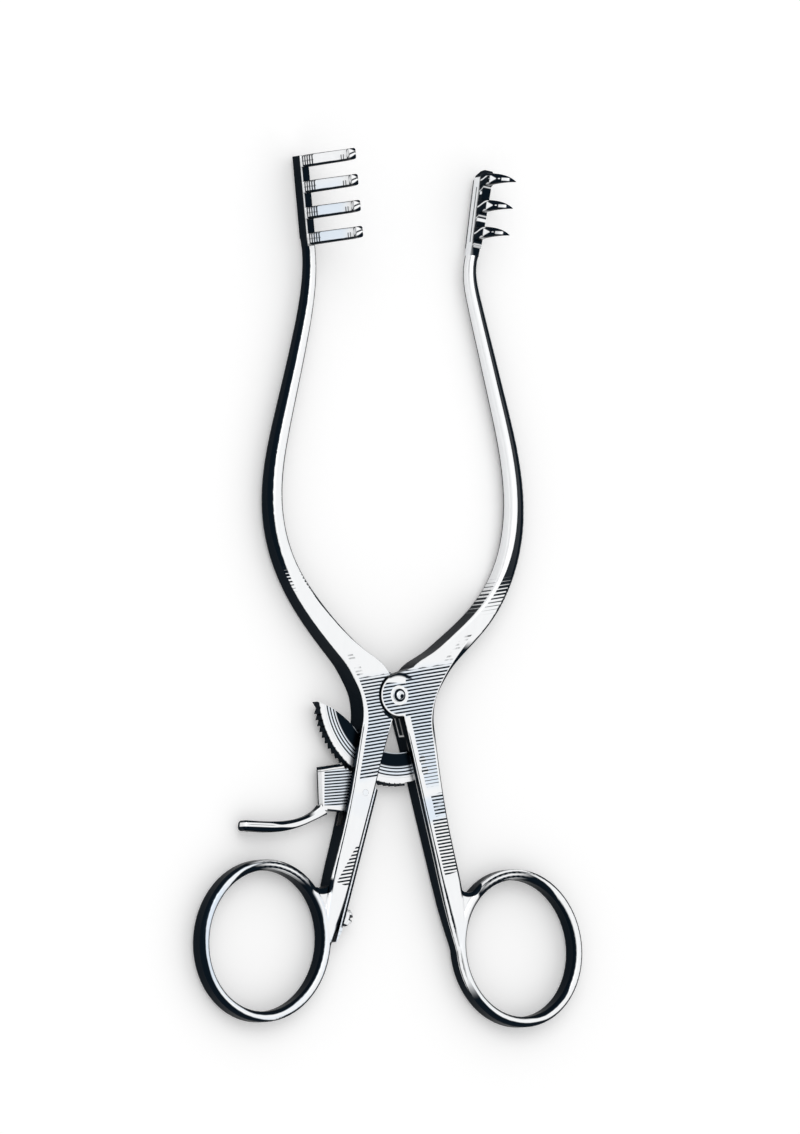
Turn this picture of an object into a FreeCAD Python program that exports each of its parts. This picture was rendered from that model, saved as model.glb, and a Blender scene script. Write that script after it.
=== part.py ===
import FreeCAD, Part
import math
import os

from FreeCAD import Vector

# A self retaining retractor, lying on its back with the prongs up. Millimetres and degrees.
# The origin is the hinge's axis on the rest plane: +Y runs from the finger rings to the rakes,
# +X to the side of the arm with the ratchet bar, +Z out of the front.
# Everything below the hinge is placed by s, the way down a handle from the hinge's axis, and o,
# the way out from the straight line through that axis at the handle's lean.

# Hinge
HINGE_THICK = 5.0
HINGE_EDGE = 0.35
GRINDING = 0.08
LUG_RADIUS = 4.0
LUG_CLEARANCE = 0.25
LAP_CLEARANCE = 0.08
WEB_ANGLE = 104.0
RIVET_RADIUS = 1.1
RIVET_HEAD_RADIUS = 1.25
RIVET_HEAD_HEIGHT = 0.65
RIVET_HEAD_RIM = 0.15
RIVET_TAIL_RADIUS = 1.5
RUNNING_FIT = 0.05
SEATED_FIT = 0.02
FACE_CLEARANCE = 0.05
LUG_WEB = ((5.0, 0.0), (7.5, 5.5), (6.0, 7.0), (3.4, 5.45))
HINGE_STATIONS = (
    (9.25, 6.65, -36.0, 5.0),
    (6.5, 4.15, -26.0, 6.9),
    (4.4, 0.2, -9.0, 7.5),
    (4.45, -4.4, 3.0, 6.3),
)

# Shanks, from the hinge up to the rakes: centreline points of the right one
SHANK_ROOT = (12.0, 9.1)
SHANK_KNEE = (16.0, 13.2)
SHANK_RISE = (22.1, 21.1)
SHANK_BOW = (26.2, 34.0)
SHANK_MIDDLE = (24.8, 47.6)
SHANK_TAPER = (20.9, 62.8)
SHANK_NECK = (17.9, 75.5)
RAKE_SEAT = (17.8, 83.2)
SHANK_ROOT_WIDTH = 4.2
SHANK_BOW_WIDTH = 3.15
SHANK_TIP_WIDTH = 2.0
SHANK_TIP_THICK = 2.8
TIP_SWAY = 1.0
KNEE_SWAY = {1: 0.55, -1: 0.0}

# Handles
HANDLE_LEAN = 15.5
HANDLE_INSET = 0.1
HANDLE_TOP_WIDTH = 5.8
HANDLE_WIDTH = 4.65
HANDLE_END_WIDTH = 3.85
HANDLE_END_THICK = 4.2
HANDLE_TOP = 8.0
HANDLE_END = 42.0

# Finger rings, ovals with their long axis along the handle
RING_OPENING = {1: (23.3, 25.8), -1: (23.9, 26.4)}
RING_DISTANCE = {1: 52.0, -1: 52.2}
RING_SWAY = {1: 0.2, -1: 0.35}
RING_WALL = 1.97
RING_THICK = 3.9
RING_ROUND = 0.85
CROTCH_RADIUS = 2.2

# Ratchet bar
TOOTH_TIP_RADIUS = 16.9
TOOTH_DEPTH = 0.65
TOOTH_PITCH = 4.0
TOOTH_RAKE = 0.5
FIRST_TOOTH = -8
LAST_TOOTH = 76
BAR_INNER_RADIUS = 10.7
BAR_THICK = 1.8
BAR_TIP_ANGLE = 84.2
BAR_BACK_ANGLE = 51.6
BAR_SHOULDER = (-12.3, -3.5)
TONGUE_LENGTH = 3.5
TONGUE_START = 11.5
TONGUE_END = 16.2
TONGUE_FIT = 0.05
BAR_RIVET_RADIUS = 0.7
BAR_RIVET_INSET = 1.3

# Slot in the left handle
SLOT_PLAY = 0.2
SLOT_TOP_CLEARANCE = 0.3
SLOT_END = 27.0

# Release lever
LEVER_ENGAGE = 7.5
LEVER_PIN_S = 19.6
LEVER_PIN_O = 1.9
LEVER_PIN_RADIUS = 0.6
LEVER_HUB_RADIUS = 1.7
NOSE_RADIUS = 0.8
NOSE_S = 21.4
PAWL_CLEARANCE = 0.08
PAWL_SIDE_PLAY = 0.8
PAWL_TOP_RIGHT = (-9.6, -12.8)
PAWL_TOP_LEFT = (-15.8, -13.8)
PAWL_BOTTOM_LEFT = (-15.4, -21.8)
PAWL_BOTTOM_RIGHT = (-12.0, -22.0)
SERRATION_DEPTH = 0.45
FINGER_TIP_WIDTH = 3.0
FINGER_TIP_ROUND = 0.6
FINGER_STATIONS = (
    (-15.1, -21.7, -38, 2.3, BAR_THICK, 0.3),
    (-17.7, -23.3, -29, 1.5, BAR_THICK, 0.4),
    (-21.5, -24.65, -13, 1.65, 2.2, 0.5),
    (-26.5, -25.3, -3, 2.0, 2.7, 0.6),
    (-32.5, -25.2, 5, 2.0, FINGER_TIP_WIDTH, 0.7),
)

# Leaf spring and its screw
LEAF_THICK = 0.65
LEAF_WIDTH = 3.2
LEAF_TOP = 18.0
LEAF_END = 48.0
LEAF_TAPER = 2.2
LEAF_TOP_GAP = 0.36
LEAF_END_GAP = 0.12
LEAF_CONTACT_GAP = 0.06
SCREW_S = 42.8
SCREW_RADIUS = 0.8
SCREW_DEPTH = 2.2
SCREW_HEAD_RADIUS = 1.6
SCREW_HEAD_HEIGHT = 2.15
SCREW_HEAD_RIM = 1.15
SCREW_SLOT_WIDTH = 0.75
SCREW_SLOT_DEPTH = 1.15

# Rakes
RAKE_LEAN = {1: 7.6, -1: 6.4}
RAIL_THICK = 1.7
SHOULDER_LENGTH = 1.5
PRONG_COUNT = 4
PRONG_PITCH = 4.84
PRONG_WIDTH = 2.3
PRONG_HEIGHT = 21.2
PRONG_TIP_ROUND = 0.3
LEFT_NOTCH_Z = 3.9
CLAW_COUNT = 3
CLAW_PITCH = 5.1
CLAW_WIDTH = 2.3
CLAW_HEIGHT = 10.8
CLAW_REACH = 2.7
CLAW_DROOP = 0.3
WEB_LOW_Z = 4.1
WEB_HIGH_Z = 5.2
RIGHT_RAIL_RISE = 3.8
RIGHT_RAIL_ROUND = 1.8

MID = HINGE_THICK / 2
Z = Vector(0, 0, 1)
LEAN = math.radians(HANDLE_LEAN)
DOWN = Vector(math.sin(LEAN), -math.cos(LEAN), 0)
OUT = Vector(math.cos(LEAN), math.sin(LEAN), 0)


def handle_point(s, o, z=0.0):
    """A point of the right handle: s down from the hinge, o out from the line of its lean."""
    return DOWN * s + OUT * o + Z * z


def mirror_x(shape):
    return shape.mirror(Vector(0, 0, 0), Vector(1, 0, 0))


def left(point):
    """The same point on the left side."""
    return Vector(-point.x, point.y, point.z)


def polar(radius, angle, z=0.0):
    """A point about the hinge, by its angle from straight down towards the left."""
    turn = math.radians(angle)
    return Vector(-radius * math.sin(turn), -radius * math.cos(turn), z)


def share(low, high, part):
    return low + (high - low) * part


def rounded_section(centre, across, up, width, height, corner):
    """Rounded rectangle about centre, width along across and height along up."""
    corner = min(corner, 0.48 * width, 0.48 * height)
    flat_w, flat_h = width / 2 - corner, height / 2 - corner
    bulge = corner * math.sqrt(0.5)

    def at(a, b):
        return centre + across * a + up * b

    edges = []
    for side, level in ((1, 1), (-1, 1), (-1, -1), (1, -1)):
        near_side = at(side * (flat_w + corner), level * flat_h)
        near_top = at(side * flat_w, level * (flat_h + corner))
        middle = at(side * (flat_w + bulge), level * (flat_h + bulge))
        start, end = (near_side, near_top) if side * level > 0 else (near_top, near_side)
        if edges:
            edges.append(Part.LineSegment(edges[-1].Vertexes[-1].Point, start).toShape())
        edges.append(Part.Arc(start, middle, end).toShape())
    edges.append(Part.LineSegment(edges[-1].Vertexes[-1].Point, edges[0].Vertexes[0].Point).toShape())
    return Part.Wire(edges)


def upright_section(centre, tilt, width, thick, corner):
    """A section of an arm: across it in plan, turned by tilt from X, and upright about the mid plane."""
    turn = math.radians(tilt)
    across = Vector(math.cos(turn), math.sin(turn), 0)
    return rounded_section(Vector(centre.x, centre.y, MID), across, Z, width, thick, corner)


def face_of(points):
    return Part.Face(Part.makePolygon(points + points[:1]))


def round_end(bar, spot, radius):
    """Round the rim of the end face that lies at spot."""
    end = min(bar.Faces, key=lambda face: (face.CenterOfMass - spot).Length)
    return bar.makeFillet(radius, end.Edges)


def prism(points, low, high):
    """A plan outline pushed up from low to high."""
    base = face_of([Vector(p.x, p.y, low) for p in points])
    return base.extrude(Z * (high - low))


def disc(centre, radius, low, high):
    return Part.makeCylinder(radius, high - low, Vector(centre.x, centre.y, low))


def handle_width(s):
    """Width of a handle: quick taper at the top, then slow."""
    if s < LEVER_PIN_S:
        return share(HANDLE_TOP_WIDTH, HANDLE_WIDTH, (s - HANDLE_TOP) / (LEVER_PIN_S - HANDLE_TOP))
    return share(HANDLE_WIDTH, HANDLE_END_WIDTH, (s - LEVER_PIN_S) / (HANDLE_END - LEVER_PIN_S))


def handle_thick(s):
    return share(HINGE_THICK, HANDLE_END_THICK, (s - HANDLE_TOP) / (HANDLE_END - HANDLE_TOP))


def oval(side, wall, z):
    """Outline of a ring on the right, wall outside its opening, at height z."""
    out = HANDLE_INSET + RING_OPENING[side][0] / 2 + RING_WALL + RING_SWAY[side]
    centre = handle_point(RING_DISTANCE[side], out, z)
    half_w, half_h = (size / 2 + wall for size in RING_OPENING[side])
    return Part.Wire([Part.Ellipse(centre + DOWN * half_h, centre + OUT * half_w, centre).toShape()])


def oval_plate(side, wall, low, high):
    return Part.Face(oval(side, wall, low)).extrude(Z * (high - low))


def rake_seat(side):
    """Tip of an arm, drawn on the right. Both tips sway to the left, as the photograph has them."""
    return Vector(RAKE_SEAT[0] - side * TIP_SWAY, RAKE_SEAT[1], 0)


def shank_sections(side):
    """Sections from the rake's seat down to the shank's root, round at the top and flat below."""
    points = [Vector(*SHANK_ROOT, 0)]
    points += [Vector(x + KNEE_SWAY[side], y, 0) for x, y in (SHANK_KNEE, SHANK_RISE)]
    points += [Vector(*SHANK_BOW, 0), Vector(*SHANK_MIDDLE, 0)]
    points.append(Vector(SHANK_TAPER[0] - side * TIP_SWAY / 4, SHANK_TAPER[1], 0))
    points.append(Vector(SHANK_NECK[0] - side * TIP_SWAY * 0.85, SHANK_NECK[1], 0))
    points.append(rake_seat(side))
    lean = math.radians(RAKE_LEAN[side])
    line = Part.BSplineCurve()
    into_rake = Vector(math.sin(lean), math.cos(lean), 0)
    line.interpolate(points, InitialTangent=Vector(1, 0.95, 0), FinalTangent=into_rake)
    bow = line.parameter(points[3])
    sections = []
    steps = 9
    for step in range(steps, -1, -1):
        t = share(line.FirstParameter, line.LastParameter, step / steps)
        spot, along = line.value(t), line.tangent(t)[0]
        tilt = -math.degrees(math.atan2(along.x, along.y))
        if t < bow:
            part = (t - line.FirstParameter) / (bow - line.FirstParameter)
            width = share(SHANK_ROOT_WIDTH, SHANK_BOW_WIDTH, min(1, 1.6 * part))
            thick = share(HINGE_THICK, share(HINGE_THICK, SHANK_TIP_THICK, 0.38), part)
            corner = share(0.35, 1.2, part)
        else:
            part = (t - bow) / (line.LastParameter - bow)
            width = share(SHANK_BOW_WIDTH, SHANK_TIP_WIDTH, part)
            thick = share(share(HINGE_THICK, SHANK_TIP_THICK, 0.38), SHANK_TIP_THICK, part)
            corner = share(1.2, 0.85, part)
        sections.append(upright_section(spot, tilt, width, thick, corner))
    return sections


def hinge_sections():
    """Sections that widen from the shank's root over the hinge to the top of the handle."""
    sections = []
    for x, y, tilt, width in HINGE_STATIONS:
        thick = HINGE_THICK + 2 * GRINDING
        sections.append(upright_section(Vector(x, y, 0), tilt, width, thick, HINGE_EDGE))
    return sections


def handle_sections(side):
    """Sections down the handle, on its straight inner face, into the ring's wall."""
    sections = []
    for s, corner in ((HANDLE_TOP, 0.3), (LEVER_PIN_S, 0.35), (31, 0.45), (HANDLE_END, 0.8)):
        width = handle_width(s)
        centre = handle_point(s, HANDLE_INSET + width / 2)
        sections.append(upright_section(centre, HANDLE_LEAN, width, handle_thick(s), corner))
    for down, part in ((3.7, 0.45), (8.5, 1.0)):
        width = share(HANDLE_END_WIDTH, 0.85 * RING_WALL, part)
        sway = max(0, RING_SWAY[side]) * part
        centre = handle_point(HANDLE_END + down, HANDLE_INSET + 0.05 + 0.1 * part + sway + width / 2)
        thick = share(HANDLE_END_THICK, RING_THICK - 0.35, part)
        sections.append(upright_section(centre, HANDLE_LEAN, width, thick, RING_ROUND))
    return sections


def ring(side):
    low, high = MID - RING_THICK / 2, MID + RING_THICK / 2
    band = oval_plate(side, RING_WALL, low, high).cut(oval_plate(side, 0, low, high))
    rims = [edge for edge in band.Edges if isinstance(edge.Curve, Part.Ellipse)]
    return band.makeFillet(RING_ROUND, rims)


def crotch(side):
    """Fillet between the handle's outer side and the ring, sunk a little into both."""
    thick = RING_THICK - 0.9
    low, high = MID - thick / 2, MID + thick / 2

    def slab(inset):
        top, bottom = HANDLE_END - 9, HANDLE_END + 3
        return prism([
            handle_point(top, 1.0),
            handle_point(bottom, 1.0),
            handle_point(bottom, HANDLE_INSET + HANDLE_END_WIDTH - inset),
            handle_point(top, HANDLE_INSET + HANDLE_END_WIDTH - inset),
        ], low, high)

    blank = slab(0).fuse(oval_plate(side, RING_WALL, low, high)).removeSplitter()
    corner = handle_point(HANDLE_END - 1, HANDLE_INSET + HANDLE_END_WIDTH + 0.6)
    upright = [edge for edge in blank.Edges if edge.BoundBox.ZLength > thick / 2]
    crease = min(upright, key=lambda edge: (edge.CenterOfMass - Z * MID - corner).Length)
    filled = blank.makeFillet(CROTCH_RADIUS, [crease])
    wedge = filled.cut(slab(0.5)).cut(oval_plate(side, RING_WALL - 0.5, low, high))
    around = disc(crease.Vertexes[0].Point, CROTCH_RADIUS + 1.6, low - 1, high + 1)
    return wedge.common(around)


def lug(side, low, high):
    """Half-thickness lug about the hinge, with the web that carries it into its own arm."""
    turn = math.radians(WEB_ANGLE)
    web_point = Vector(LUG_RADIUS * math.cos(turn), LUG_RADIUS * math.sin(turn), 0)
    corners = [Vector(x, y, 0) for x, y in LUG_WEB]
    web = prism([Vector(0, 0, 0), *corners, web_point], low, high)
    shape = disc(Vector(0, 0, 0), LUG_RADIUS, low, high).fuse(web)
    return shape if side > 0 else mirror_x(shape)


def arm_blank(side):
    """An arm without its hinge, drawn on the right, ground flat on both faces."""
    sections = shank_sections(side) + hinge_sections() + handle_sections(side)
    body = Part.makeLoft(sections, True, False)
    plate = Part.makeBox(200, 300, HINGE_THICK, Vector(-100, -150, 0))
    return body.common(plate).fuse([ring(side), crotch(side)])


def arm(side):
    """One arm: side is +1 for the right arm with the front lug, -1 for the left with the rear lug."""
    body = arm_blank(side) if side > 0 else mirror_x(arm_blank(side))
    front = (MID + LAP_CLEARANCE / 2, HINGE_THICK)
    rear = (0.0, MID - LAP_CLEARANCE / 2)
    own = front if side > 0 else rear
    pocket = (-1.0, front[0]) if side > 0 else (rear[1], HINGE_THICK + 1.0)
    body = body.cut(disc(Vector(0, 0, 0), LUG_RADIUS + LUG_CLEARANCE, *pocket))
    body = body.fuse(lug(side, *own)).removeSplitter()
    fit = RUNNING_FIT if side > 0 else SEATED_FIT
    return body.cut(disc(Vector(0, 0, 0), RIVET_RADIUS + fit, -1, HINGE_THICK + 1))


def domed_head(radius, rim, dome):
    """Head of a rivet or screw: an upright rim and a ball's cap on it, from z = 0 up."""
    ball = (radius ** 2 + dome ** 2) / (2 * dome)
    cap = Part.makeSphere(ball, Vector(0, 0, rim + dome - ball))
    return Part.makeCylinder(radius, rim + dome).common(cap)


def pivot_rivet():
    """Domed head on the front lug, and a tail spread flush in the rear lug's countersink."""
    head = domed_head(RIVET_HEAD_RADIUS, RIVET_HEAD_RIM, RIVET_HEAD_HEIGHT - RIVET_HEAD_RIM)
    head.translate(Z * (HINGE_THICK + FACE_CLEARANCE))
    shank = Part.makeCylinder(RIVET_RADIUS, HINGE_THICK + 2 * FACE_CLEARANCE)
    tail = Part.makeCone(RIVET_TAIL_RADIUS, RIVET_RADIUS, RIVET_TAIL_RADIUS - RIVET_RADIUS)
    return shank.fuse([head, tail]).removeSplitter()


def countersink():
    tail = RIVET_TAIL_RADIUS - RIVET_RADIUS
    return Part.makeCone(RIVET_TAIL_RADIUS + SEATED_FIT, RIVET_RADIUS + SEATED_FIT, tail)


def tooth_outline(first, last, radial_gap=0.0, side_gap=0.0):
    """Saw teeth about the hinge, each with its steep face towards the bar's root.

    The gaps make every tooth taller, and wider on its steep side.
    """
    tip, root = TOOTH_TIP_RADIUS + radial_gap, TOOTH_TIP_RADIUS - TOOTH_DEPTH + radial_gap
    foot = root + TOOTH_DEPTH * side_gap / (TOOTH_PITCH - TOOTH_RAKE)
    points = []
    angle = first
    while angle <= last:
        points.append(polar(foot, angle - side_gap))
        points.append(polar(tip, angle + TOOTH_RAKE - side_gap))
        if side_gap:
            points.append(polar(tip, angle + TOOTH_RAKE))
        angle += TOOTH_PITCH
    points.append(polar(foot, angle - side_gap))
    return points


def tongue(grow):
    """Root of the bar, which fills its seat in the right handle but for the fit."""
    return [
        handle_point(TONGUE_START - grow, HANDLE_INSET - 1.5),
        handle_point(TONGUE_START - grow, HANDLE_INSET + TONGUE_LENGTH + grow),
        handle_point(TONGUE_END + grow, HANDLE_INSET + TONGUE_LENGTH + grow),
        handle_point(TONGUE_END + grow, HANDLE_INSET - 1.5),
    ]


def bar_rivet_spots():
    middle = HANDLE_INSET + TONGUE_LENGTH / 2
    return {
        "ratchet_rivet_upper": handle_point(TONGUE_START + BAR_RIVET_INSET, middle),
        "ratchet_rivet_lower": handle_point(TONGUE_END - BAR_RIVET_INSET, middle),
    }


def ratchet_bar():
    low = Vector(0, 0, MID - BAR_THICK / 2)
    teeth = tooth_outline(FIRST_TOOTH, LAST_TOOTH)
    tip = polar(TOOTH_TIP_RADIUS, BAR_TIP_ANGLE)
    back = polar(BAR_INNER_RADIUS, BAR_BACK_ANGLE)
    shoulder = Vector(*BAR_SHOULDER, 0)
    root_angle = -HANDLE_LEAN + 1.0
    inner_end = polar(BAR_INNER_RADIUS, root_angle)
    outer_end = polar(TOOTH_TIP_RADIUS - TOOTH_DEPTH, root_angle)
    edges = [Part.LineSegment(a, b).toShape() for a, b in zip(teeth, teeth[1:])]
    edges.append(Part.LineSegment(teeth[-1], tip).toShape())
    edges.append(Part.Arc(tip, shoulder, back).toShape())
    underside = polar(BAR_INNER_RADIUS, (BAR_BACK_ANGLE + root_angle) / 2)
    edges.append(Part.Arc(back, underside, inner_end).toShape())
    edges.append(Part.LineSegment(inner_end, outer_end).toShape())
    middle = polar(TOOTH_TIP_RADIUS - TOOTH_DEPTH, (root_angle + FIRST_TOOTH) / 2)
    edges.append(Part.Arc(outer_end, middle, teeth[0]).toShape())
    bar = Part.Face(Part.Wire(edges)).extrude(Z * BAR_THICK)
    bar.translate(low)
    bar = bar.fuse(prism(tongue(0), low.z, low.z + BAR_THICK)).removeSplitter()
    for spot in bar_rivet_spots().values():
        bar = bar.cut(disc(spot, BAR_RIVET_RADIUS + SEATED_FIT, -1, HINGE_THICK + 1))
    return bar


def bar_seat():
    half = BAR_THICK / 2 + TONGUE_FIT
    return prism(tongue(TONGUE_FIT), MID - half, MID + half)


def flush_pin(spot, s, radius):
    """Plain pin through a handle, flush with both faces."""
    half = handle_thick(s) / 2
    return disc(spot, radius, MID - half, MID + half)


def handle_slot():
    """Slot through the left handle for the ratchet bar and the pawl."""
    half = BAR_THICK / 2 + SLOT_PLAY
    inner = BAR_INNER_RADIUS - SLOT_TOP_CLEARANCE
    corners = [polar(0.5, 30), polar(2 * SLOT_END, -5), polar(2 * SLOT_END, 60)]
    wedge = prism(corners, MID - half, MID + half)
    band = disc(Vector(0, 0, 0), SLOT_END, MID - half, MID + half)
    return band.cut(disc(Vector(0, 0, 0), inner, MID - half, MID + half)).common(wedge)


def lever_pin_spot():
    return left(handle_point(LEVER_PIN_S, LEVER_PIN_O))


def nose_spot():
    inner_face = HANDLE_INSET - leaf_gap(NOSE_S)
    return left(handle_point(NOSE_S, inner_face + LEAF_CONTACT_GAP + NOSE_RADIUS))


def leaf_gap(s):
    """Gap between the leaf spring and the handle's inner face."""
    return share(LEAF_TOP_GAP, LEAF_END_GAP, (s - LEAF_TOP) / (LEAF_END - LEAF_TOP))


def pawl_plate():
    """Plate that turns on the pin: nose against the spring, teeth against the bar, block outside."""
    low, high = MID - BAR_THICK / 2, MID + BAR_THICK / 2
    pin, nose = lever_pin_spot(), nose_spot()
    block = prism([
        pin,
        polar(TOOTH_TIP_RADIUS - 0.8, 30.5),
        Vector(*PAWL_TOP_RIGHT, 0),
        Vector(*PAWL_TOP_LEFT, 0),
        Vector(*PAWL_BOTTOM_LEFT, 0),
        Vector(*PAWL_BOTTOM_RIGHT, 0),
        nose + Vector(-0.2, -NOSE_RADIUS, 0),
    ], low, high)
    plate = block.fuse([disc(pin, LEVER_HUB_RADIUS, low, high), disc(nose, NOSE_RADIUS, low, high)])
    bridge = prism([
        pin + Vector(LEVER_HUB_RADIUS * 0.95, 0.3, 0),
        pin + Vector(-1, 0, 0),
        nose + Vector(-0.5, -0.5, 0),
        nose + Vector(NOSE_RADIUS * 0.9, 0.3, 0),
    ], low, high)
    plate = plate.fuse(bridge).removeSplitter()
    return plate.cut(disc(Vector(0, 0, 0), TOOTH_TIP_RADIUS + PAWL_CLEARANCE, low - 1, high + 1))


def mesh_cutter():
    """The bar's teeth and a clearance, as they lie when the lever has turned them into mesh."""
    low, high = MID - BAR_THICK, MID + BAR_THICK
    points = tooth_outline(24, 60, PAWL_CLEARANCE, PAWL_SIDE_PLAY)
    cutter = prism(points + [Vector(0, 0, 0)], low, high)
    cutter.rotate(lever_pin_spot(), Z, LEVER_ENGAGE)
    return cutter


def serrations():
    """Small saw cuts along the top of the block, beyond the teeth that mesh."""
    low, high = MID - BAR_THICK, MID + BAR_THICK
    start, end = Vector(*PAWL_TOP_RIGHT, 0), Vector(*PAWL_TOP_LEFT, 0)
    along = (end - start).normalize()
    inward = Vector(along.y, -along.x, 0) * -1
    pitch = math.radians(TOOTH_PITCH) * TOOTH_TIP_RADIUS
    cuts = []
    way = 2.6 * pitch
    while way + pitch < (end - start).Length:
        a = start + along * way
        cuts.append(prism([
            a - inward,
            a + inward * SERRATION_DEPTH,
            a + along * pitch * 0.9 - inward * 0.05,
            a + along * pitch * 0.9 - inward,
        ], low, high))
        way += pitch
    return cuts


def finger_lever():
    """Bar that a finger presses: a loft that widens towards its rounded tip."""
    sections = []
    for x, y, slope, height, width, corner in FINGER_STATIONS:
        turn = math.radians(slope + 90)
        across = Vector(-math.cos(turn), math.sin(turn), 0)
        sections.append(rounded_section(Vector(x, y, MID), across, Z, height, width, corner))
    bar = Part.makeLoft(sections, True, False)
    return round_end(bar, Vector(*FINGER_STATIONS[-1][:2], MID), FINGER_TIP_ROUND)


def release_lever():
    lever = pawl_plate().cut(mesh_cutter())
    lever = lever.cut(serrations())
    lever = lever.fuse(finger_lever()).removeSplitter()
    pin = lever_pin_spot()
    return lever.cut(disc(pin, LEVER_PIN_RADIUS + RUNNING_FIT, -1, HINGE_THICK + 1))


def leaf_frame(s, away):
    """A point beside the left handle's inner face, away from the leaf's near face at s."""
    return left(handle_point(s, HANDLE_INSET - leaf_gap(s) - away, MID))


def leaf_spring():
    """Flat leaf, rounded at the top and tapered at the end, a little off the handle's inner face."""
    round_top = 0.75 * LEAF_THICK
    corner_s = LEAF_TOP + round_top
    edges = [
        Part.LineSegment(leaf_frame(LEAF_END, 0), leaf_frame(LEAF_TOP, 0)),
        Part.LineSegment(leaf_frame(LEAF_TOP, 0), leaf_frame(LEAF_TOP, LEAF_THICK - round_top)),
        Part.Arc(
            leaf_frame(LEAF_TOP, LEAF_THICK - round_top),
            leaf_frame(LEAF_TOP + 0.29 * round_top, LEAF_THICK - 0.29 * round_top),
            leaf_frame(corner_s, LEAF_THICK),
        ),
        Part.LineSegment(leaf_frame(corner_s, LEAF_THICK), leaf_frame(LEAF_END - LEAF_TAPER, LEAF_THICK)),
        Part.LineSegment(leaf_frame(LEAF_END - LEAF_TAPER, LEAF_THICK), leaf_frame(LEAF_END, 0.15)),
        Part.LineSegment(leaf_frame(LEAF_END, 0.15), leaf_frame(LEAF_END, 0)),
    ]
    face = Part.Face(Part.Wire([edge.toShape() for edge in edges]))
    face.translate(Z * (-LEAF_WIDTH / 2))
    leaf = face.extrude(Z * LEAF_WIDTH)
    return leaf.cut(screw_bore(SCREW_RADIUS + 2 * RUNNING_FIT, 3.0))


def screw_axis():
    """Where the screw's axis meets the left handle's inner face, and its way out."""
    seat = left(handle_point(SCREW_S, HANDLE_INSET, MID))
    return seat, Vector(OUT.x, -OUT.y, 0)


def screw_bore(radius, depth):
    seat, out = screw_axis()
    return Part.makeCylinder(radius, depth + 4, seat - out * depth, out)


def screw_hole():
    return screw_bore(SCREW_RADIUS + SEATED_FIT, SCREW_DEPTH + 0.05)


def spring_screw():
    seat, out = screw_axis()
    under = leaf_gap(SCREW_S) + LEAF_THICK + FACE_CLEARANCE
    top = under + SCREW_HEAD_HEIGHT
    head = domed_head(SCREW_HEAD_RADIUS, SCREW_HEAD_RIM, SCREW_HEAD_HEIGHT - SCREW_HEAD_RIM)
    head.translate(Z * under)
    length = SCREW_DEPTH + under + SCREW_HEAD_RIM / 2
    shank = Part.makeCylinder(SCREW_RADIUS, length, Vector(0, 0, -SCREW_DEPTH))
    slot = Part.makeBox(2 * SCREW_HEAD_RADIUS + 1, SCREW_SLOT_WIDTH, SCREW_SLOT_DEPTH + 1)
    slot.translate(Vector(-SCREW_HEAD_RADIUS - 0.5, -SCREW_SLOT_WIDTH / 2, top - SCREW_SLOT_DEPTH))
    slot.rotate(Vector(0, 0, 0), Z, -HANDLE_LEAN)
    screw = shank.fuse(head).removeSplitter().cut(slot)
    screw.Placement = FreeCAD.Placement(seat, FreeCAD.Rotation(Z, out))
    return screw


def hook(stations, width):
    """A prong or claw: loft through sections along a bent line that rises from the rail.

    Each station is x outwards, y, z, the lean outwards from upright, thickness and share of the width.
    """
    sections = []
    for x, y, z, lean, thick, part in stations:
        turn = math.radians(lean)
        across = Vector(math.cos(turn), 0, -math.sin(turn))
        wide = width * part
        corner = 0.3 * min(thick, wide)
        sections.append(rounded_section(Vector(x, y, z), across, Vector(0, 1, 0), thick, wide, corner))
    return Part.makeLoft(sections, True, False)


def rail(outline):
    """A rail from its side view, given as y and z along the rail."""
    return face_of([Vector(-RAIL_THICK / 2, y, z) for y, z in outline]).extrude(Vector(RAIL_THICK, 0, 0))


def shoulder():
    """Blend from the arm's tip to the rail."""
    low = MID - SHANK_TIP_THICK / 2
    start = rounded_section(Vector(0, 0, MID), Vector(1, 0, 0), Z, SHANK_TIP_WIDTH, SHANK_TIP_THICK, 0.8)
    middle = Vector(0, SHOULDER_LENGTH + 0.5, low + SHANK_TIP_THICK / 2)
    end = rounded_section(middle, Vector(1, 0, 0), Z, RAIL_THICK, SHANK_TIP_THICK, 0.2)
    return Part.makeLoft([start, end], True, True)


def place_rake(shape, side):
    """From the rake's own frame, y along the rail and x outwards, to the arm's tip."""
    shape.rotate(Vector(0, 0, 0), Z, -RAKE_LEAN[side])
    shape.translate(rake_seat(side))
    return shape if side > 0 else mirror_x(shape)


def left_rake():
    """Rail with four blunt prongs, which lean in a little and curl out at their tips."""
    first = PRONG_WIDTH / 2 + 0.1
    spots = [first + PRONG_PITCH * k for k in range(PRONG_COUNT)]
    low, top = MID - SHANK_TIP_THICK / 2, PRONG_HEIGHT
    end = spots[-1] + PRONG_WIDTH / 2
    start = SHOULDER_LENGTH
    side_view = [(start, low), (end, low), (end, LEFT_NOTCH_Z), (start, LEFT_NOTCH_Z)]
    stations = (
        (0.0, 0, LEFT_NOTCH_Z - 1, 0, 1.56, 0.98),
        (-0.1, 0, 0.35 * top, -5, 1.5, 1.0),
        (-1.0, 0, 0.66 * top, -8, 1.4, 0.97),
        (-1.2, 0, 0.86 * top, 5, 1.35, 0.94),
        (-0.5, 0, 0.975 * top, 40, 1.25, 0.9),
    )
    hooks = []
    for spot in spots:
        prong = hook(stations, PRONG_WIDTH)
        prong = round_end(prong, Vector(stations[-1][0], 0, stations[-1][2]), PRONG_TIP_ROUND)
        prong.translate(Vector(0, spot, 0))
        hooks.append(prong)
    return place_rake(rail(side_view).fuse(hooks + [shoulder()]).removeSplitter(), -1)


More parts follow.
